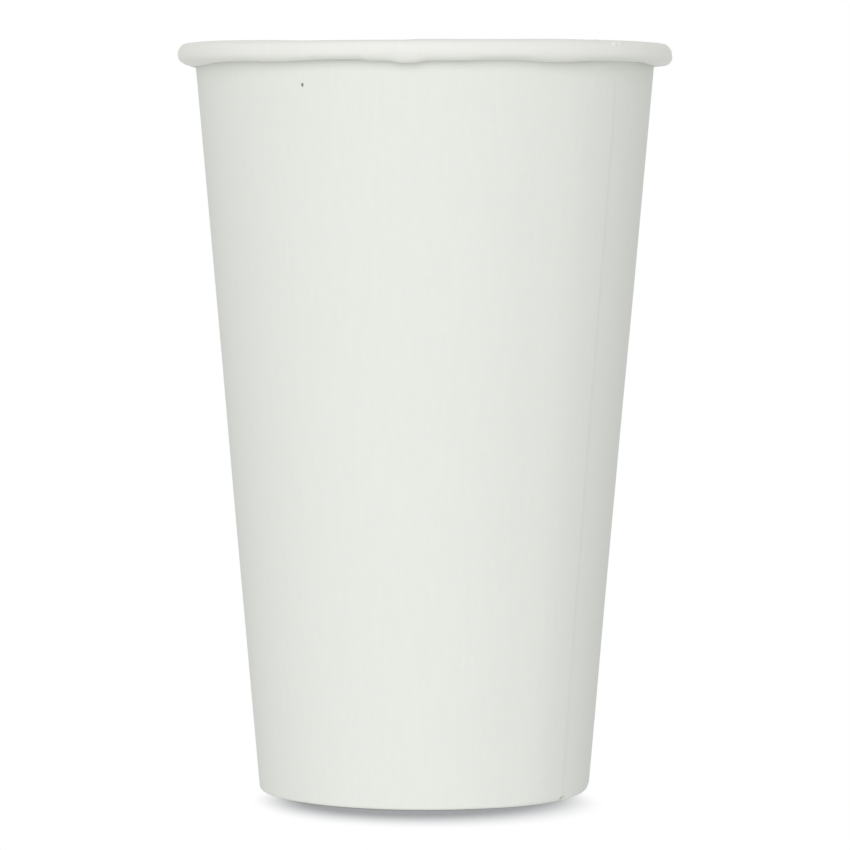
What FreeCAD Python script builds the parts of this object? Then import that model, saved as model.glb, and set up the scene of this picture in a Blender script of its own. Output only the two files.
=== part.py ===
import FreeCAD, Part
import math
import os
from collections import namedtuple

# Paper cold cup for about 470 ml, made of two pieces of coated board:
#   sidewall  a blank wrapped into a cone and lapped down one side, with its top
#             edge rolled outwards and its bottom edge folded in and up as a hem
#   base      a drawn disc with a skirt, which the hem locks against the wall
# Millimetres, +Z up. The origin is the middle of the foot ring, at the level
# that the cup stands on.

# Driving dimensions of the cup
cup_height = 136.0       # up to the top of the rim roll
rim_diameter = 90.0      # over the rim roll
foot_diameter = 60.2     # where the outer face of the wall, run on down, meets the ground

# Board
side_board = 0.32        # sidewall board with its coating
base_board = 0.28        # base board with its coating
seal_film = 0.02         # melted coating on each side of the skirt

# Rim roll, whose outer skin is the inner face of the wall turned over outwards
roll_diameter = 3.44     # across the roll
roll_drop = 0.36         # straight stretch down its outer side, which makes it taller than wide
roll_clearance = 0.05    # from its cut edge to the wall, where the wall is two boards thick

# Side seam: one end of the blank lies over the other
lap_width = 7.0          # how far it lies over, at half height
seam_direction = -36.0   # where its outer cut edge is, in degrees round from +X

# Foot and base
hem_height = 7.0         # up to the cut edge of the hem
fold_radius = 0.05       # inside the two corners of the fold
panel_clearance = 2.0    # from the cut edge of the hem up to the underside of the panel
panel_bend = 0.6         # inside the bend from panel to skirt

# Bends are drawn as flats, which keep the turned faces plain cones.
flat_sag = 0.035         # most that a flat stands off the true curve

AXIS = FreeCAD.Vector(0, 0, 1)
CENTRE = FreeCAD.Vector(0, 0, 0)

# A section is a path in the plane of X and Z. The board lies to the right of it.
Straight = namedtuple("Straight", "length")
Bend = namedtuple("Bend", "radius turn")          # turn in degrees, to the left if positive
Path = namedtuple("Path", "start heading moves")  # heading in degrees up from +X

roll_radius = roll_diameter / 2
roll_centre = FreeCAD.Vector(rim_diameter / 2 - roll_radius, 0, cup_height - roll_radius)


def wall_lean():
    """Angle of the wall from upright, in degrees.

    Its outer face runs up from the foot to where it touches the inner skin of the roll.
    """
    across = roll_centre.x - foot_diameter / 2
    up = roll_centre.z
    to_centre = math.atan2(across, up)
    to_skin = math.asin((roll_radius - side_board) / math.hypot(across, up))
    return math.degrees(to_centre - to_skin)


lean = wall_lean()
lean_sin = math.sin(math.radians(lean))
lean_cos = math.cos(math.radians(lean))
lean_tan = lean_sin / lean_cos

skirt_slot = base_board + 2 * seal_film
mid_radius = (rim_diameter + foot_diameter) / 4
lap_angle = math.degrees(lap_width / mid_radius)
seam_start = seam_direction - lap_angle
# Coming round to its own cut edge, the board leaves the cone in a straight run
# that lifts it by its own thickness.
climb_angle = math.degrees(math.acos(mid_radius / (mid_radius + side_board)))


def towards(angle):
    """Unit vector in the section plane, at an angle up from +X."""
    return FreeCAD.Vector(math.cos(math.radians(angle)), 0, math.sin(math.radians(angle)))


def wall_inside(height, inset=0.0):
    """Point on the inner face of the wall, or on a parallel line nearer to the axis."""
    radius = foot_diameter / 2 - (side_board + inset) / lean_cos + height * lean_tan
    return FreeCAD.Vector(radius, 0, height)


def bend_setback(radius, turn):
    """How far before its corner a bend starts."""
    return radius * math.tan(math.radians(turn) / 2)


def flats_in(bend):
    """Number of flats that a bend is drawn with."""
    outer_radius = bend.radius + (side_board if bend.turn > 0 else 0)
    widest_turn = 2 * math.degrees(math.acos(1 - flat_sag / outer_radius))
    return math.ceil(abs(bend.turn) / widest_turn)


def follow(path, distance):
    """Corners of the line that keeps a distance to the right of a path."""
    here = path.start
    heading = path.heading
    corners = [here + towards(heading - 90) * distance]
    for move in path.moves:
        if isinstance(move, Straight):
            here = here + towards(heading) * move.length
            corners.append(here + towards(heading - 90) * distance)
        else:
            side = math.copysign(1, move.turn)
            centre = here + towards(heading + 90 * side) * move.radius
            flats = flats_in(move)
            for flat in range(1, flats + 1):
                spoke = towards(heading + move.turn * flat / flats - 90 * side)
                corners.append(centre + spoke * (move.radius + side * distance))
            here = centre + spoke * move.radius
            heading += move.turn
    return corners


def board_section(path, near, far):
    """Closed outline of the board between two distances to the right of a path."""
    corners = follow(path, near) + follow(path, far)[::-1]
    return Part.makePolygon(corners + corners[:1])


def sidewall_path(layers):
    """Inner face of the sidewall, from the cut edge of the hem to the cut edge in the roll.

    Where boards lie on each other at the seam, the fold stands higher by their
    thickness, so that its underside stays level with the rest of the foot.
    """
    hem_edge = wall_inside(hem_height, skirt_slot)
    hem_corner = wall_inside(layers * side_board, skirt_slot)
    wall_corner = wall_inside(layers * side_board)
    hem_setback = bend_setback(fold_radius, 90 + lean)
    wall_setback = bend_setback(fold_radius, 90 - lean)
    roll_start = roll_centre + towards(180 - lean) * roll_radius

    # Past the bottom of the roll the board curls in and up beside the wall, in
    # the largest bend that clears a wall of two boards.
    tuck_room = roll_radius - 2 * side_board - roll_clearance
    tuck_radius = (tuck_room + lean_sin * (roll_drop + roll_radius)) / (1 + lean_sin)

    return Path(hem_edge, 270 - lean, [
        Straight(hem_edge.distanceToPoint(hem_corner) - hem_setback),
        Bend(fold_radius, 90 + lean),
        Straight(wall_corner.x - hem_corner.x - hem_setback - wall_setback),
        Bend(fold_radius, 90 - lean),
        Straight(wall_corner.distanceToPoint(roll_start) - wall_setback),
        Bend(roll_radius, lean - 90),
        Bend(roll_radius, -90),
        Straight(roll_drop),
        Bend(roll_radius, -90),
        Bend(tuck_radius, -90 - lean),
    ])


def turned(shape, angle):
    """Copy of a shape, turned about the axis of the cup."""
    copy = shape.copy()
    copy.rotate(CENTRE, AXIS, angle)
    return copy


def swept_round(section, start, sweep):
    """Solid of a section turned about the axis of the cup."""
    return turned(Part.Face(section), start).revolve(CENTRE, AXIS, sweep)


def make_sidewall():
    """The wrapped blank: once round, a straight climb over its own edge, and the lap."""
    single = board_section(sidewall_path(1), 0, side_board)
    outer_layer = board_section(sidewall_path(2), side_board, 2 * side_board)
    both_layers = board_section(sidewall_path(2), 0, 2 * side_board)

    once_round = swept_round(single, seam_direction, 360 - lap_angle - climb_angle)
    climb_ends = [turned(single, seam_start - climb_angle), turned(outer_layer, seam_start)]
    climb = Part.makeLoft(climb_ends, True, True)
    lap = swept_round(both_layers, seam_start, lap_angle)
    return once_round.fuse([climb, lap]).removeSplitter()


def make_base():
    """The drawn disc: a flat panel, a bend and the skirt that the hem holds."""
    panel_top = hem_height + panel_clearance + base_board
    bend_radius = panel_bend + base_board
    setback = bend_setback(bend_radius, 90 + lean)
    bend_corner = wall_inside(panel_top, seal_film)
    skirt_edge = wall_inside(2 * side_board + fold_radius, seal_film)

    path = Path(FreeCAD.Vector(0, 0, panel_top), 0, [
        Straight(bend_corner.x - setback),
        Bend(bend_radius, -90 - lean),
        Straight(bend_corner.distanceToPoint(skirt_edge) - setback),
    ])
    return swept_round(board_section(path, 0, base_board), 0, 360)


def main():
    os.makedirs("parts", exist_ok=True)
    pieces = {"sidewall": make_sidewall(), "base": make_base()}
    for name, shape in pieces.items():
        if len(shape.Solids) != 1 or not shape.isValid():
            raise ValueError(name + " is not one sound solid")
        shape.Solids[0].exportStep("parts/" + name + ".step")


main()
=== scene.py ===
import math
import random

import bpy
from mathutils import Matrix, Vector


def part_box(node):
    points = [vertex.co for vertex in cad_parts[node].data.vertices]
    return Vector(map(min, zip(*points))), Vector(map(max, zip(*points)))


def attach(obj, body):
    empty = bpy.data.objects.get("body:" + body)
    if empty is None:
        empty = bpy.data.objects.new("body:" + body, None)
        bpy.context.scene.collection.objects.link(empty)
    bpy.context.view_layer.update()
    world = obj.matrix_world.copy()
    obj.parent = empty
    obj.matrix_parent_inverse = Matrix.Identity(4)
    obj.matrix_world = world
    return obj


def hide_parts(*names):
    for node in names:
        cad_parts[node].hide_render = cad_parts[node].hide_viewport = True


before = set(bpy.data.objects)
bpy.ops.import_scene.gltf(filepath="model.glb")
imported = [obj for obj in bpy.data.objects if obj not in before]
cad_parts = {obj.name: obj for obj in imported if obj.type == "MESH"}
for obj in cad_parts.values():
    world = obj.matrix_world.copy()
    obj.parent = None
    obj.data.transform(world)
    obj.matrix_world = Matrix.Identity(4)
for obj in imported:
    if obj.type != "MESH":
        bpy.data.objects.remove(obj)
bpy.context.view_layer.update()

# Paper cold cup, in metres. The cup stands on z = 0 with its axis on x = y = 0.
# The sidewall is one blank, wrapped, lapped, rolled at the top and hemmed at the
# bottom. The base is a drawn disc, and the hem holds its skirt.

side_low, side_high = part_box("sidewall")

MM = 0.001
rim_radius = min(side_high.x, -side_low.x, side_high.y, -side_low.y)   # over the roll
cup_height = side_high.z - 0.001 * MM   # a micron under the CAD's, so that rounding can't go over
foot_radius = 30.1 * MM                 # outer face of the wall, run on down to the table
side_board = 0.32 * MM
base_board = 0.28 * MM
seal_film = 0.02 * MM                   # melted coating between the skirt and its neighbours

roll_radius = 1.72 * MM                 # outer skin of the roll
roll_drop = 0.36 * MM                   # straight stretch down the outside of the roll
tuck_slope = math.radians(9)            # by which the underside of the roll rises to the wall
tuck_radius = 0.42 * MM                 # last bend of the roll, up beside the wall
tuck_gap = 0.06 * MM                    # between the roll and the wall, where it is one board thick
tuck_rise = 0.50 * MM                   # from that bend to the cut edge inside the roll
roll_x = rim_radius - roll_radius       # middle of the roll
roll_z = cup_height - roll_radius
below_roll = 131 * MM                   # from here down there is only wall
below_crushing = 126 * MM               # from here down the wall takes none of the roll's crushing

hem_height = 7.0 * MM
low_wall = 1.2 * MM                     # finely divided stretch of the wall, just above the fold
fold_radius = 0.05 * MM                 # inside the corner between the fold and the hem
outer_fold_radius = 0.25 * MM           # inside the corner between the fold and the wall
fold_top = 0.4 * MM                     # up to here the boards move up or down with the fold
above_fold = 1.6 * MM                   # and from here up they don't

panel_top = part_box("base")[1].z         # of the base panel, at its edge
panel_crown = 0.3 * MM
panel_bend = 0.6 * MM + base_board      # on the side of the drink

seam_outer_edge = math.radians(-36.0)   # direction of the cut edge outside, from +X
lap_angle = math.radians(10.68)
seam_start = seam_outer_edge - lap_angle
steps_round = 384                       # columns of faces round the cup
step_angle = 2 * math.pi / steps_round
climb_steps = 16                        # columns over which the board climbs onto itself
climb_angle = climb_steps * step_angle
lap_steps = 11
climb_start = seam_start - climb_angle
crush_spread = 2.5 * step_angle         # over which the crushing of the lap sets in
beside_lap = 4 * step_angle             # over which the single board beside the lap gives way too

lift = side_board + 0.01 * MM           # one board and the film that seals the lap
crushed = 0.42                          # thickness left to each board of the lap in the roll
feathered = 0.10                        # and at the cut edge that shows on the roll
rise_over_edge = 0.12                   # of the outer board in the roll, over the feathered edge
rise_over_board = 0.35                  # and then over the crushed board, both in boards
outer_board_loss = 0.25                 # share of its thickness that the wall's outer board loses
ring_lift = 0.12 * MM                   # of the foot ring off the table, away from the lap
weld = 0.002 * MM                       # points as near as this are one point
crease = math.radians(35)               # edges that turn by more than this stay sharp


def wall_lean():
    """The wall runs from the foot to the inner side of the roll."""
    across = roll_x - foot_radius
    up = roll_z
    return math.atan2(across, up) - math.asin((roll_radius - side_board) / math.hypot(across, up))


lean = wall_lean()
roll_start = Vector((roll_x - roll_radius * math.cos(lean), 0,
                     roll_z + roll_radius * math.sin(lean)))


def wall_inside(height, inset=0.0):
    """Point on the inner face of the wall, or on a line parallel to it, nearer the axis."""
    radius = foot_radius - (side_board + inset) / math.cos(lean) + height * math.tan(lean)
    return Vector((radius, 0, height))


# ---------------------------------------------------------------------- drawing a section

class Section:
    """A section drawn point by point in the plane of X and Z, as a pen would."""

    def __init__(self, name, start, heading):
        bpy.ops.object.select_all(action="DESELECT")
        bpy.ops.mesh.primitive_plane_add(size=MM)
        self.piece = bpy.context.object
        self.piece.name = name
        self.piece.data.name = name
        bpy.ops.object.mode_set(mode="EDIT")
        bpy.ops.mesh.select_mode(type="VERT")
        bpy.ops.mesh.merge(type="CENTER")
        bpy.ops.transform.translate(value=start)
        self.here = start.copy()
        self.heading = heading

    def straight(self, length, pieces=1):
        step = Vector((math.cos(self.heading), 0, math.sin(self.heading))) * (length / pieces)
        for count in range(pieces):
            bpy.ops.mesh.extrude_vertices_move(TRANSFORM_OT_translate={"value": step})
            self.here += step

    def bend(self, radius, turn, pieces):
        """A bend to the left if turn is above 0, and otherwise to the right."""
        side = math.copysign(1, turn)
        across = self.heading + side * math.pi / 2
        centre = self.here + Vector((math.cos(across), 0, math.sin(across))) * radius
        bpy.ops.mesh.spin(steps=pieces, angle=turn, center=centre, axis=(0, 1, 0))
        self.heading += turn
        out = self.heading - side * math.pi / 2
        self.here = centre + Vector((math.cos(out), 0, math.sin(out))) * radius


def spin_round(steps, angle):
    """Carries what is selected round the axis of the cup, anticlockwise from above."""
    bpy.ops.mesh.spin(steps=steps, angle=-angle, center=(0, 0, 0), axis=(0, 0, 1))


# ---------------------------------------------------------------------- places on the cup

def from_axis(place):
    return math.hypot(place.x, place.y)


def past(place, start):
    """How far a place lies past a direction, anticlockwise, from half a column before it."""
    direction = math.atan2(place.y, place.x)
    return (direction - start + step_angle / 2) % (2 * math.pi) - step_angle / 2


def front_angle(place):
    """How far a place lies round the cup from its front, -Y, in degrees to the right."""
    return math.degrees(math.atan2(place.x, -place.y))


def round_roll(place):
    """Degrees round the middle of the roll: 0 outwards, 90 at its top, -90 underneath."""
    return math.degrees(math.atan2(place.z - roll_z, from_axis(place) - roll_x))


def in_roll(place):
    """Whether a point of the inner face belongs to the roll, and not to the wall beside it."""
    if place.z <= below_roll:
        return False
    off_wall = wall_inside(place.z).x + lift + 0.03 * MM    # just clear of the lap's outer board
    return place.z > roll_start.z or from_axis(place) > off_wall


def ramp(value, start, end):
    """Goes smoothly from 0 at start to 1 at end."""
    share = min(max((value - start) / (end - start), 0.0), 1.0)
    return share * share * (3 - 2 * share)


def hill(value, start, top, shoulder, end):
    """Rises from 0 at start to 1 at top, and falls from shoulder to 0 at end."""
    return ramp(value, start, top) * ramp(value, end, shoulder)


def fold_share(place):
    """1 in the fold at the foot, fading out in the wall and hem above it."""
    return ramp(place.z, above_fold, fold_top)


def near_roll(place):
    """Share of the roll's crushing that the wall below it takes."""
    return 1.0 if in_roll(place) else ramp(place.z, below_crushing, roll_start.z)


def part_of_roll(*turns):
    """A hill round the roll, given in degrees round its middle."""
    return lambda place: hill(round_roll(place), *turns) if in_roll(place) else 0.0


def part_under_roll(start, full):
    """A ramp round the lower half of the roll, given in degrees round its middle."""
    def share(place):
        return ramp(round_roll(place), start, full) if in_roll(place) and place.z < roll_z else 0.0
    return share


def towards(part, *directions):
    """A part of the cup on one side only: a hill, given in degrees right of the front."""
    return lambda place: part(place) * hill(front_angle(place), *directions)


# ---------------------------------------------------------------------- working a piece

def take_up(piece):
    """Selects this piece and nothing else."""
    bpy.ops.object.select_all(action="DESELECT")
    piece.select_set(True)
    bpy.context.view_layer.objects.active = piece


def pick_where(piece, wanted):
    """Selects the points whose place satisfies wanted, in edit mode."""
    bpy.ops.mesh.select_mode(type="VERT")
    bpy.ops.mesh.select_all(action="DESELECT")
    bpy.ops.object.mode_set(mode="OBJECT")
    for point in piece.data.vertices:
        point.select = wanted(point.co)
    bpy.ops.object.mode_set(mode="EDIT")


def apply_modifier(piece, name):
    take_up(piece)
    bpy.ops.object.modifier_apply(modifier=name)


def weigh(piece, name, share_at, numbers=None):
    """Gives points their own shares in a vertex group."""
    group = piece.vertex_groups.get(name) or piece.vertex_groups.new(name=name)
    points = piece.data.vertices
    for number in range(len(points)) if numbers is None else numbers:
        share = share_at(points[number].co)
        if share > 0:
            group.add([number], share, "REPLACE")


def press(piece, name, way, distance, share_at, numbers=None):
    """Moves points along an axis or along their normals, each by its own share of a distance."""
    weigh(piece, name, share_at, numbers)
    push = piece.modifiers.new(name, "DISPLACE")
    push.direction = way
    push.mid_level = 0
    push.strength = distance
    push.vertex_group = name
    apply_modifier(piece, name)
    piece.vertex_groups.remove(piece.vertex_groups[name])


def press_out(piece, name, direction, distance, share_at):
    """Moves points out from the axis, all the same way: a direction right of the front."""
    press(piece, name + "_x", "X", distance * math.sin(direction), share_at)
    press(piece, name + "_y", "Y", -distance * math.cos(direction), share_at)


def thicken(piece, thickness):
    """Gives the sheet its thickness on the outside, with the cut edges as faces of their own."""
    take_up(piece)
    for slot in range(3):               # the drawn face, the face behind it and the cut edges
        bpy.ops.object.material_slot_add()
    board = piece.modifiers.new("board", "SOLIDIFY")
    board.thickness = thickness
    board.offset = -1
    board.use_even_offset = True
    board.use_quality_normals = True
    board.material_offset = 1
    board.material_offset_rim = 2
    if "thinned" in piece.vertex_groups:
        board.vertex_group = "thinned"
        board.invert_vertex_group = True
        board.thickness_vertex_group = feathered
    apply_modifier(piece, "board")
    piece.vertex_groups.clear()


# ---------------------------------------------------------------------- the sidewall

def underside_length(start):
    """From a start under the roll to its last bend, which ends a gap away from the wall."""
    bend_x = start.x + tuck_radius * math.sin(tuck_slope)
    bend_z = start.z + tuck_radius * math.cos(tuck_slope)
    bend_room = (tuck_radius + tuck_gap) / math.cos(lean)
    room = bend_x - foot_radius - bend_z * math.tan(lean) - bend_room
    return room / (math.cos(tuck_slope) + math.tan(lean) * math.sin(tuck_slope))


def draw_sidewall_section():
    """Hem, fold, wall and roll, drawn on the face that holds the drink."""
    skirt_slot = base_board + 2 * seal_film
    hem_edge = wall_inside(hem_height, skirt_slot)
    hem_corner = wall_inside(side_board, skirt_slot)
    wall_corner = wall_inside(side_board)
    hem_turn = math.pi / 2 + lean
    wall_turn = math.pi / 2 - lean
    hem_setback = fold_radius * math.tan(hem_turn / 2)
    wall_setback = outer_fold_radius * math.tan(wall_turn / 2)
    pen = Section("cup_sidewall", hem_edge, math.radians(270) - lean)
    pen.straight((hem_edge - hem_corner).length - hem_setback, pieces=8)
    pen.bend(fold_radius, hem_turn, pieces=4)
    pen.straight(wall_corner.x - hem_corner.x - hem_setback - wall_setback)
    pen.bend(outer_fold_radius, wall_turn, pieces=6)
    pen.straight(low_wall, pieces=8)
    pen.straight((wall_corner - roll_start).length - wall_setback - low_wall, pieces=32)
    pen.bend(roll_radius, lean - math.pi / 2, pieces=9)
    pen.bend(roll_radius, -math.pi / 2, pieces=10)
    pen.straight(roll_drop, pieces=2)
    pen.bend(roll_radius, -math.pi / 2 - tuck_slope, pieces=11)
    pen.straight(underside_length(pen.here), pieces=3)
    pen.bend(tuck_radius, tuck_slope - math.pi / 2 - lean, pieces=6)
    pen.straight(tuck_rise, pieces=2)
    return pen.piece


def lay_lap(piece, first_number):
    """The board comes round to its own cut edge, climbs over it and laps it."""
    first_layer = range(first_number)
    second_layer = range(first_number, len(piece.data.vertices))

    def climbed(place):
        return ramp(past(place, climb_start), 0, climb_angle)

    def climb(place):
        # In the roll the boards are crushed, so that the lap barely stands up.
        share = climbed(place)
        in_lap = ramp(past(place, climb_start), climb_angle, climb_angle + crush_spread)
        crushed_share = rise_over_edge * share + rise_over_board * in_lap
        return share + (crushed_share - share) * near_roll(place)

    def keep_to_table(place):
        return climbed(place) * fold_share(place)

    def make_room(place):
        next_to_lap = ramp(past(place, seam_outer_edge), beside_lap, step_angle / 2)
        under_lap = 1.0 if past(place, seam_start) < lap_angle else 0.0
        return max(next_to_lap, under_lap) * fold_share(place)

    def off_table(place):
        past_lap = math.degrees(past(place, seam_outer_edge))
        return hill(past_lap, 4, 11, 318, 350) * fold_share(place)

    press(piece, "climb", "NORMAL", -lift, climb, second_layer)
    press(piece, "fold_to_table", "Z", lift, keep_to_table, second_layer)
    # The first layer of the lap is pressed up, so that the second lies level under it.
    press(piece, "fold_over", "Z", lift, make_room, first_layer)
    # The cup stands on the fold of the lap, and the rest of the ring is just off the table.
    press(piece, "off_table", "Z", ring_lift, off_table)

    def thinned_first(place):
        past_edge = past(place, seam_start)
        left = feathered + (crushed - feathered) * ramp(past_edge, 0, crush_spread)
        left += (1 - left) * ramp(past_edge, lap_angle, lap_angle + beside_lap)
        return (1 - left) * near_roll(place) / (1 - feathered)

    def thinned_second(place):
        cut_edge_at = climb_angle + lap_angle
        towards_edge = ramp(past(place, climb_start), climb_angle, cut_edge_at)
        left_in_roll = 1 - (1 - crushed) * climbed(place)
        left_in_wall = 1 - outer_board_loss * towards_edge
        lost = 1 - left_in_wall - (left_in_roll - left_in_wall) * near_roll(place)
        return lost / (1 - feathered)

    weigh(piece, "thinned", thinned_first, first_layer)
    weigh(piece, "thinned", thinned_second, second_layer)


def shape_roll(piece):
    """The roll isn't even: it sags, waves and stands off the wall here and there.

    The four numbers that end each line are degrees right of the front: the push sets in
    between the first two, and fades out between the last two.
    """
    top = part_of_roll(30, 80, 110, 165)
    outer_side = part_of_roll(-44, -12, 42, 66)
    upper_corner = part_of_roll(-24, 4, 42, 66)
    lower_corner = part_of_roll(-96, -64, -48, -8)
    underside = part_under_roll(-25, -80)
    tuck = part_under_roll(-95, -120)

    def rim(place):
        return ramp(place.z, 118 * MM, below_roll)

    def push(name, way, distance, part, *directions):
        press(piece, name, way, distance, towards(part, *directions))

    def push_out(name, distance, part, *directions):
        outwards = math.radians(sum(directions) / 4)
        press_out(piece, name, outwards, distance, towards(part, *directions))

    push("front_sag", "Z", -0.16 * MM, rim, -60, -30, 12, 40)
    push("flat_top", "Z", -0.09 * MM, top, -62, -25, 8, 34)
    push("low_top", "Z", -0.13 * MM, top, -40, -28, -5, -1)
    push("round_left", "NORMAL", -0.16 * MM, outer_side, -150, -110, -75, -50)
    push("round_right", "NORMAL", -0.12 * MM, upper_corner, 50, 75, 110, 150)
    push("high_under_left", "Z", 0.11 * MM, underside, -58, -52, -44, -40)
    push("high_left", "Z", 0.25 * MM, underside, -36, -22, -14.6, -13.0)
    push("dip_middle", "Z", -0.44 * MM, underside, -9, -5, -3, 1)
    push("high_right", "Z", 0.28 * MM, underside, 8, 15, 21, 29)
    push("dip_right", "Z", -0.13 * MM, underside, 26, 31, 34, 42)
    push("high_at_seam", "Z", 0.36 * MM, underside, 34, 51, 62, 72)
    push("hang_left", "Z", -0.50 * MM, tuck, -125, -90, -72, -54)
    push("hang_right", "Z", -0.30 * MM, tuck, 4, 14, 66, 90)
    push("hang_far_right", "Z", -0.26 * MM, tuck, 66, 82, 110, 130)
    push("slope_left", "NORMAL", -0.21 * MM, lower_corner, -135, -100, -72, -50)
    push("full_right", "NORMAL", 0.12 * MM, lower_corner, 55, 75, 105, 130)
    # Where it stands off the wall, a dark gap shows: left of the middle and round the seam.
    push_out("gap_left", 0.34 * MM, tuck, -32, -25, -16, -13)
    push_out("gap_at_seam", 0.42 * MM, tuck, 34, 46, 76, 90)


def shape_wall(piece):
    """The wall isn't quite straight either: it is a little hollow on both sides."""
    def upper_wall(place):
        return 0.0 if in_roll(place) else hill(place.z, 48 * MM, 86 * MM, 130 * MM, 135 * MM)

    def lower_wall(place):
        return hill(place.z, 9 * MM, 36 * MM, 66 * MM, 92 * MM)

    press(piece, "hollow_left", "X", 0.10 * MM, towards(upper_wall, -150, -115, -65, -30))
    press(piece, "hollow_right", "X", -0.09 * MM, towards(lower_wall, 30, 65, 115, 150))


def nick_roll(piece):
    """Two small puckers stand up on the roll beside the seam, on faces made finer for them."""
    def upper_quarter(place):
        return in_roll(place) and -6 < round_roll(place) < 96

    bpy.ops.object.mode_set(mode="EDIT")
    pick_where(piece, lambda place: upper_quarter(place) and 45.5 < front_angle(place) < 54.0)
    bpy.ops.mesh.select_mode(type="FACE")
    bpy.ops.mesh.subdivide(number_cuts=4, smoothness=1.0)
    bpy.ops.mesh.select_all(action="DESELECT")
    bpy.ops.object.mode_set(mode="OBJECT")

    first_ridge = part_of_roll(18, 33, 40, 53)
    second_ridge = part_of_roll(26, 38, 54, 70)
    press(piece, "pucker", "NORMAL", 0.32 * MM, towards(first_ridge, 47.2, 48.1, 48.4, 49.1))
    press(piece, "second_pucker", "NORMAL", 0.16 * MM, towards(second_ridge, 49.5, 50.3, 50.6, 51.8))


def dent_foot(piece):
    """The foot is dented beside the seam, with a small lip below, and pinched in on the right."""
    dent_direction = math.radians(56)

    def dent(place):
        return hill(place.z, 0.34 * MM, 0.50 * MM, 0.66 * MM, 0.86 * MM)

    def lip(place):
        return ramp(place.z, 0.42 * MM, 0.25 * MM)

    def foot(place):
        return ramp(place.z, above_fold, 0.1 * MM)

    press_out(piece, "dent", dent_direction, -0.42 * MM, towards(dent, 53.4, 54.3, 57.0, 58.6))
    press_out(piece, "lip", dent_direction, 0.08 * MM, towards(lip, 53.4, 54.4, 56.2, 58.0))
    press(piece, "pinch", "X", -0.26 * MM, towards(foot, 60, 80, 110, 150))


def rib_hem(piece):
    """Upright ribs that the press leaves on the hem, where it grips the skirt of the base."""
    rib_every = 3                       # columns

    def rib(place):
        column = round(past(place, seam_start) / step_angle)
        in_hem = from_axis(place) < wall_inside(place.z, side_board / 2).x
        if column % rib_every or not in_hem or place.z > hem_height:
            return 0.0
        return hill(place.z, 0.8 * MM, 1.6 * MM, 5.6 * MM, 6.4 * MM)

    press(piece, "ribs", "NORMAL", -0.08 * MM, rib)


def make_sidewall():
    """The blank starts at its inner cut edge, goes once round, climbs and laps."""
    piece = draw_sidewall_section()
    bpy.ops.mesh.select_all(action="SELECT")
    bpy.ops.transform.rotate(value=-seam_start, orient_axis="Z", center_override=(0, 0, 0))
    spin_round(steps_round - climb_steps, 2 * math.pi - climb_angle)
    bpy.ops.object.mode_set(mode="OBJECT")
    first_number = len(piece.data.vertices)
    bpy.ops.object.mode_set(mode="EDIT")
    spin_round(climb_steps, climb_angle)
    spin_round(lap_steps, lap_angle)
    bpy.ops.object.mode_set(mode="OBJECT")
    lay_lap(piece, first_number)
    shape_roll(piece)
    shape_wall(piece)
    nick_roll(piece)
    rib_hem(piece)
    thicken(piece, side_board)
    dent_foot(piece)
    return piece


# ---------------------------------------------------------------------- the base

def draw_base_section():
    """A panel that crowns a little, a bend and the skirt, which ends on the fold of the hem."""
    panel_radius = wall_inside(panel_top, seal_film).x - 1.0 * MM   # leaves room for the bend
    crown_radius = panel_radius ** 2 / (2 * panel_crown)
    crown_turn = math.asin(panel_radius / crown_radius)
    pen = Section("cup_base", Vector((0, 0, panel_top + panel_crown)), 0)
    pen.bend(crown_radius, -crown_turn, pieces=14)
    bend_turn = math.pi / 2 + lean - crown_turn
    setback = panel_bend * math.tan(bend_turn / 2)
    # The bend ends on the line of the skirt, parallel to the wall.
    skirt_line = wall_inside(pen.here.z, seal_film)
    pen.straight((skirt_line.x - pen.here.x) * math.cos(crown_turn) - setback)
    pen.bend(panel_bend, -bend_turn, pieces=8)
    skirt_edge = wall_inside(side_board + fold_radius + lift, seal_film)
    pen.straight((pen.here - skirt_edge).length, pieces=5)
    return pen.piece


def pleat_skirt(piece):
    """The skirt of the base is gathered in small uneven pleats round its bend.

    Two deep pleats and two shallow ones follow each other, a column each.
    """
    draw = random.Random(41)
    pleats = [draw.uniform(0.2, 1.0) if column % 4 < 2 else draw.uniform(0.0, 0.25)
              for column in range(steps_round)]

    def pleat(place):
        column = round(past(place, seam_start) / step_angle) % steps_round
        near_bend = ramp(from_axis(place), 27.6 * MM, 29.3 * MM)
        return pleats[column] * near_bend * ramp(place.z, 5.0 * MM, 8.0 * MM)

    press(piece, "pleats", "NORMAL", -0.06 * MM, pleat)


def make_base():
    piece = draw_base_section()
    bpy.ops.mesh.select_all(action="SELECT")
    spin_round(steps_round, 2 * math.pi)
    bpy.ops.mesh.select_all(action="SELECT")
    bpy.ops.mesh.remove_doubles(threshold=weld)
    bpy.ops.mesh.normals_make_consistent(inside=False)
    bpy.ops.object.mode_set(mode="OBJECT")
    top = max(piece.data.polygons, key=lambda face: face.center.z)
    if top.normal.z < 0:
        bpy.ops.object.mode_set(mode="EDIT")
        bpy.ops.mesh.select_all(action="SELECT")
        bpy.ops.mesh.flip_normals()
        bpy.ops.object.mode_set(mode="OBJECT")
    pleat_skirt(piece)
    thicken(piece, base_board)
    dent_foot(piece)
    return piece


wall = make_sidewall()
base = make_base()


# ---------------------------------------------------------------------- finishes

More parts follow.
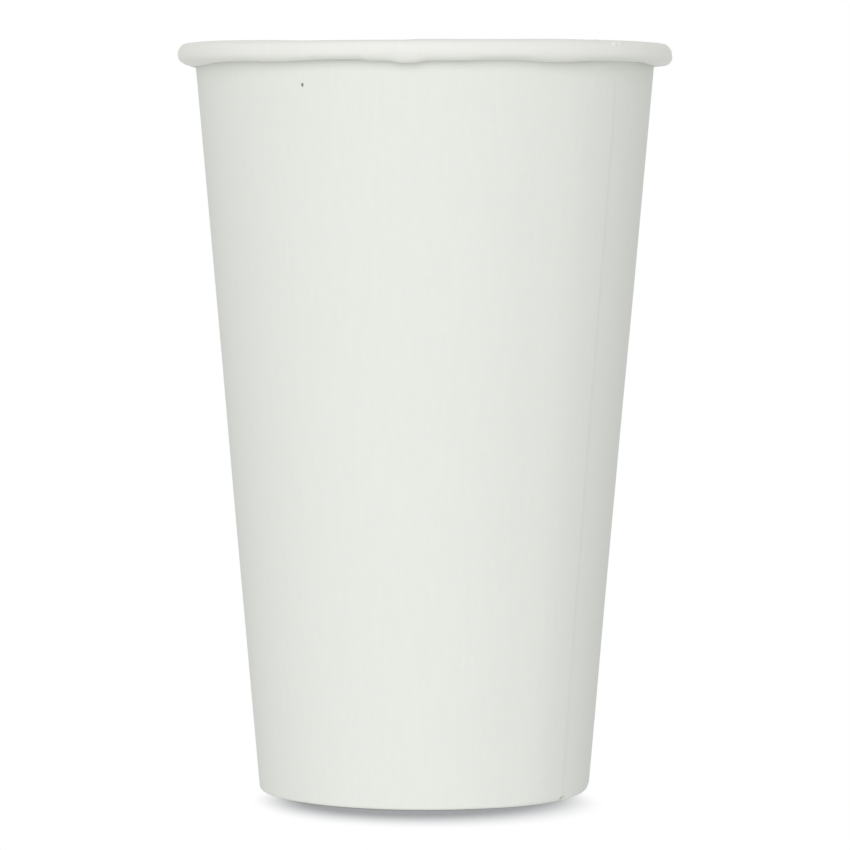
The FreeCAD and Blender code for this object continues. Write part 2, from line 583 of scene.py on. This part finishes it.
class Value:
    """A socket of a finish, for use in Python sums. Each operator adds a Math node."""

    def __init__(self, finish, socket):
        self.finish = finish
        self.socket = socket

    def maths(self, operation, *numbers):
        settings = {"operation": operation}
        return self.finish.node("ShaderNodeMath", settings, dict(enumerate(numbers)))

    def __add__(self, other):
        return self.maths("ADD", self, other)

    def __radd__(self, other):
        return self.maths("ADD", other, self)

    def __sub__(self, other):
        return self.maths("SUBTRACT", self, other)

    def __rsub__(self, other):
        return self.maths("SUBTRACT", other, self)

    def __mul__(self, other):
        return self.maths("MULTIPLY", self, other)

    def __rmul__(self, other):
        return self.maths("MULTIPLY", other, self)


class NodeWork:
    """Nodes and links under way, in a material or in the world."""

    def __init__(self, tree):
        self.nodes = tree.nodes
        self.links = tree.links

    def feed(self, socket, value):
        if isinstance(value, Value):
            self.links.new(value.socket, socket)
        else:
            socket.default_value = value

    def node(self, kind, settings=None, values=None, output=0):
        """A new node: its settings come first, and then the values or links of its sockets."""
        made = self.nodes.new(kind)
        for key, value in (settings or {}).items():
            setattr(made, key, value)
        for key, value in (values or {}).items():
            self.feed(made.inputs[key], value)
        return Value(self, made.outputs[output])


class Finish(NodeWork):
    """A material under way."""

    def __init__(self, name):
        self.material = bpy.data.materials.new(name)
        self.material.use_nodes = True
        super().__init__(self.material.node_tree)
        self.shader = self.nodes["Principled BSDF"]

    def place(self):
        """Where a point of the surface is, in metres."""
        return self.node("ShaderNodeTexCoord", output="Object")

    def vector(self, operation, *vectors, output="Vector"):
        """A sum on places. LENGTH comes out at the output Value."""
        settings = {"operation": operation}
        return self.node("ShaderNodeVectorMath", settings, dict(enumerate(vectors)), output)

    def noise(self, place, grain, detail, roughness=0.5):
        """Noise around 0.5 whose features are about one grain across."""
        values = {"Vector": place, "Scale": 1 / grain, "Detail": detail, "Roughness": roughness}
        return self.node("ShaderNodeTexNoise", None, values, "Fac")

    def smooth(self, value, low, high, from_value=0.0, to_value=1.0):
        values = {"Value": value, 1: low, 2: high, 3: from_value, 4: to_value}
        return self.node("ShaderNodeMapRange", {"interpolation_type": "SMOOTHSTEP"}, values)

    def mixed(self, factor, first, second):
        """Colour between two colours."""
        values = {0: factor, 6: first, 7: second}
        return self.node("ShaderNodeMix", {"data_type": "RGBA"}, values, 2)

    def relief(self, height, distance, strength, under=None):
        values = {"Height": height, "Distance": distance, "Strength": strength}
        if under is not None:
            values["Normal"] = under
        return self.node("ShaderNodeBump", None, values)

    def set(self, name, value):
        self.feed(self.shader.inputs[name], value)


outer_white = (0.787, 0.815, 0.769, 1)
inner_white = (0.818, 0.831, 0.793, 1)
dimming = 0.976                         # from the lightest to the darkest tone of a film
speck_grey = (0.22, 0.23, 0.21, 1)
speck_direction = math.radians(-121.0)  # from +X
speck_height = 128.0 * MM
thin_fibre = (0.70, 0.69, 0.62, 1)
dense_fibre = (0.84, 0.83, 0.77, 1)


def speckled(finish, place, colour):
    """The board's colour, with the one dark speck in it below the rim."""
    radius = foot_radius + speck_height * math.tan(lean)
    spot = (radius * math.cos(speck_direction), radius * math.sin(speck_direction), speck_height)
    from_spot = finish.vector("SUBTRACT", place, spot)
    made_taller = finish.vector("MULTIPLY", from_spot, (1, 1, 0.75))
    distance = finish.vector("LENGTH", made_taller, output="Value")
    in_speck = finish.smooth(distance, 0.16 * MM, 0.34 * MM, from_value=1.0, to_value=0.0)
    return finish.mixed(in_speck, colour, speck_grey)


def film(name, white, roughness, coat, gloss, has_speck=False):
    """White board under a thin clear film: upright streaks, cloudy formation and fine fibres."""
    finish = Finish(name)
    place = finish.place()
    drawn_upright = finish.vector("MULTIPLY", place, (1, 1, 0.045))
    streaks = finish.noise(drawn_upright, grain=0.9 * MM, detail=3.0, roughness=0.7)
    cloud = finish.noise(place, grain=14 * MM, detail=3.0)
    formation = finish.noise(place, grain=1.6 * MM, detail=4.0, roughness=0.6)
    fibre = finish.noise(place, grain=0.16 * MM, detail=3.0, roughness=0.6)
    mottling = streaks * 0.4 + cloud * 0.1 + formation * 0.3 + fibre * 0.2
    dim_white = tuple(channel * dimming for channel in white[:3]) + (1,)
    colour = finish.mixed(finish.smooth(mottling, 0.35, 0.65), dim_white, white)
    finish.set("Base Color", speckled(finish, place, colour) if has_speck else colour)
    finish.set("Roughness", roughness + formation * 0.10 + fibre * 0.08 - 0.09)
    finish.set("Specular IOR Level", gloss)
    finish.set("Coat Weight", coat)
    finish.set("Coat Roughness", 0.28)
    sheet = finish.relief(cloud * 0.5 + streaks * 0.06, distance=0.08 * MM, strength=0.5)
    skin = finish.relief(formation * 0.6 + fibre * 0.4, distance=0.010 * MM, strength=0.6, under=sheet)
    finish.set("Normal", skin)
    return finish


def raw_edge(name):
    """The cut through the board: bare fibre, layered, a little warmer than the film."""
    finish = Finish(name)
    place = finish.place()
    layers = finish.noise(place, grain=0.05 * MM, detail=2.0, roughness=0.7)
    tufts = finish.noise(place, grain=0.4 * MM, detail=3.0, roughness=0.6)
    density = finish.smooth(layers * 0.6 + tufts * 0.4, 0.3, 0.7)
    finish.set("Base Color", finish.mixed(density, thin_fibre, dense_fibre))
    finish.set("Roughness", 0.80 + layers * 0.15)
    finish.set("Normal", finish.relief(layers, distance=0.02 * MM, strength=0.8))
    return finish


def dress(piece, *finishes):
    """Finishes for the face that was drawn, for the one behind it and for the cut edges."""
    for slot, finish in zip(piece.material_slots, finishes):
        slot.material = finish.material
    take_up(piece)
    bpy.ops.object.shade_smooth_by_angle(angle=crease)


inside_film = film("film_inside", inner_white, roughness=0.50, coat=0.04, gloss=0.10)
outside_film = film("film_outside", outer_white, roughness=0.68, coat=0.0, gloss=0.03, has_speck=True)
cut_edge = raw_edge("cut_edge")
dress(wall, inside_film, outside_film, cut_edge)
dress(base, inside_film, outside_film, cut_edge)

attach(wall, "root")
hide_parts("sidewall")
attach(base, "root")
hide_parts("base")


# ---------------------------------------------------------------------- floor and surround

# With the light of the floor, that of the sky makes white board look white.
sky_light = (0.62, 0.615, 0.610, 1)
floor_light = (0.75, 0.744, 0.738, 1)
# Painted shade: the floor's grey colour in front of the cup, which also takes the cup's real shadow.
painted_shade_grey = (0.410, 0.420, 0.443, 1)
painted_shade_middle = (0, -15.6 * MM, 0)       # a little in front of the cup's axis
painted_shade_radius = 26.2 * MM
least_edge = 5.3 * MM                   # half the width of its soft edge, where that is sharpest
floor_size = 8


def white_where_seen(work, lit, white_share):
    """Shows white to the camera, and also in gloss and through glass, by the share given."""
    seen = work.node("ShaderNodeLightPath", output="Is Camera Ray")
    gloss = work.node("ShaderNodeLightPath", output="Is Glossy Ray")
    through = work.node("ShaderNodeLightPath", output="Is Transmission Ray")
    share = seen.maths("MINIMUM", seen + gloss + through, 1.0) * white_share
    white = work.node("ShaderNodeEmission", None, {"Color": (1, 1, 1, 1), "Strength": 1.0})
    return work.node("ShaderNodeMixShader", None, {0: share, 1: lit, 2: white})


def make_floor():
    """White, and bright from below. In front of the cup the floor is painted grey, a painted shade,
    which also takes the cup's real shadow.
    """
    bpy.ops.object.select_all(action="DESELECT")
    bpy.ops.mesh.primitive_plane_add(size=floor_size)
    floor = bpy.context.object
    floor.name = "floor"
    finish = Finish("floor_white")
    place = finish.place()
    from_shade = finish.vector("SUBTRACT", place, painted_shade_middle)
    distance = finish.vector("LENGTH", from_shade, output="Value")
    # The painted shade's edge is sharp beside the cup, soft in front of it, and a little softer at the
    # right.
    across = finish.node("ShaderNodeSeparateXYZ", None, {0: place}, "X")
    depth = finish.node("ShaderNodeSeparateXYZ", None, {0: place}, "Y")
    spread = 1.5 * MM - depth * 0.19 + across * 0.045
    edge = spread.maths("MAXIMUM", spread, least_edge)
    white_share = finish.smooth(distance, painted_shade_radius - edge, painted_shade_radius + edge)
    # The grey is painted shade. The camera sees it lit, with the cup's real shadow on it.
    finish.set("Base Color", painted_shade_grey)
    finish.set("Roughness", 0.9)
    finish.set("Specular IOR Level", 0.1)
    shade = Value(finish, finish.shader.outputs[0])
    glow = finish.node("ShaderNodeEmission", None, {"Color": floor_light, "Strength": 1.0})
    seen = finish.node("ShaderNodeLightPath", output="Is Camera Ray")
    lit = finish.node("ShaderNodeMixShader", None, {0: seen, 1: glow, 2: shade})
    surface = white_where_seen(finish, lit, white_share)
    finish.feed(finish.nodes["Material Output"].inputs["Surface"], surface)
    floor.data.materials.append(finish.material)


def make_surround():
    """Soft light from all round, and white behind the cup."""
    world = bpy.data.worlds.new("studio")
    bpy.context.scene.world = world
    world.use_nodes = True
    work = NodeWork(world.node_tree)
    sky = work.nodes["Background"]
    work.feed(sky.inputs["Color"], sky_light)
    surface = white_where_seen(work, Value(work, sky.outputs[0]), 1.0)
    work.feed(work.nodes["World Output"].inputs["Surface"], surface)


make_floor()
make_surround()


# ---------------------------------------------------------------------- lamp and camera

def softbox(name, direction, height_angle, distance, size, level):
    """A square lamp aimed at the middle of the cup. Level is the light it adds there."""
    lamp = bpy.data.lights.new(name, "AREA")
    lamp.size = size
    lamp.energy = level * math.pi ** 2 * distance ** 2
    holder = bpy.data.objects.new(name, lamp)
    bpy.context.scene.collection.objects.link(holder)
    out = Vector((math.cos(direction) * math.cos(height_angle),
                  math.sin(direction) * math.cos(height_angle), math.sin(height_angle)))
    holder.location = Vector((0, 0, cup_height / 2)) + out * distance
    holder.rotation_euler = out.to_track_quat("Z", "Y").to_euler()


softbox("key", math.radians(-98), math.radians(20), distance=5.0, size=3.0, level=0.438)

camera_distance = 0.822                 # in front of the cup's axis
camera_height = 0.11287
camera_down, camera_roll, camera_turn = 3.2145, -0.0404, -0.0058    # degrees
camera_data = bpy.data.cameras.new("camera")
camera_data.sensor_width = 36
camera_data.lens = 190.85
camera = bpy.data.objects.new("camera", camera_data)
bpy.context.scene.collection.objects.link(camera)
camera.location = (0, -camera_distance, camera_height)
camera.rotation_mode = "XYZ"
camera.rotation_euler = [math.radians(turn) for turn in (90 - camera_down, camera_roll, camera_turn)]
bpy.context.scene.camera = camera
bpy.context.scene.view_settings.view_transform = "Standard"
